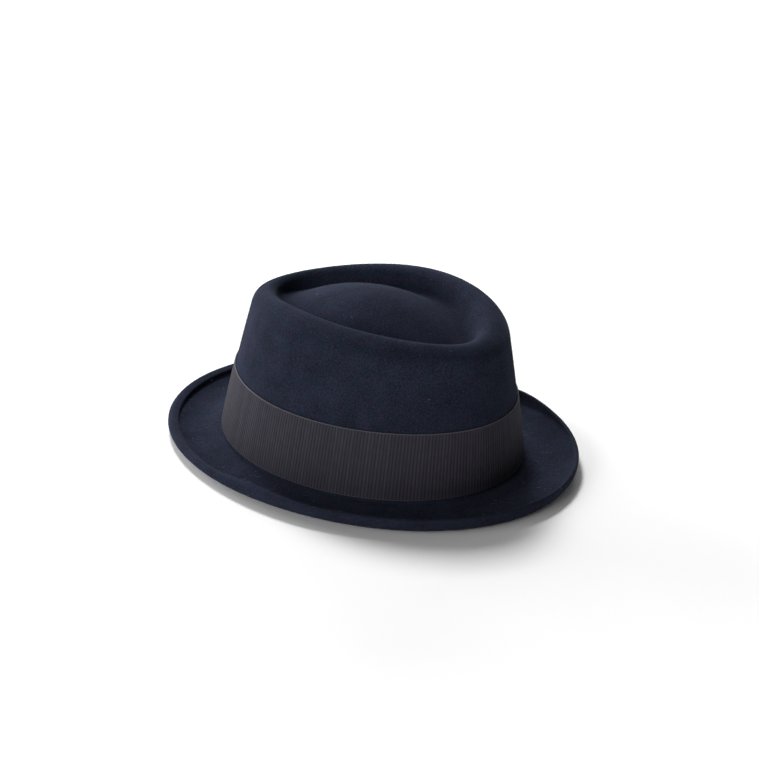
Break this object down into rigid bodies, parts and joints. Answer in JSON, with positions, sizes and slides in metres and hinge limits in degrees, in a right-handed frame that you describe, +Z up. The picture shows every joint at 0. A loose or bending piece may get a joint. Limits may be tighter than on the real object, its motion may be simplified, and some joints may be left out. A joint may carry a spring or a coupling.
{
  "type": "porkpie hat",
  "caption": "Felt porkpie hat with a domed, moated crown top, a short brim curled at its edge and a ribbed ribbon round the crown.",
  "frame": {"origin": "on the surface that the hat rests on, under the middle of the brim's outline", "axes": "+Z up, the front of the hat faces -Y, the wearer's right is -X"},
  "size_m": [0.2352, 0.2806, 0.1021],
  "materials": {
    "wool_felt": "navy fulled wool felt with a short nap",
    "grosgrain": "charcoal ribbed grosgrain ribbon with a soft sheen"
  },
  "bodies": {
    "root": {"felt_body": "wool_felt", "ribbon_band": "grosgrain"}
  },
  "joints": []
}
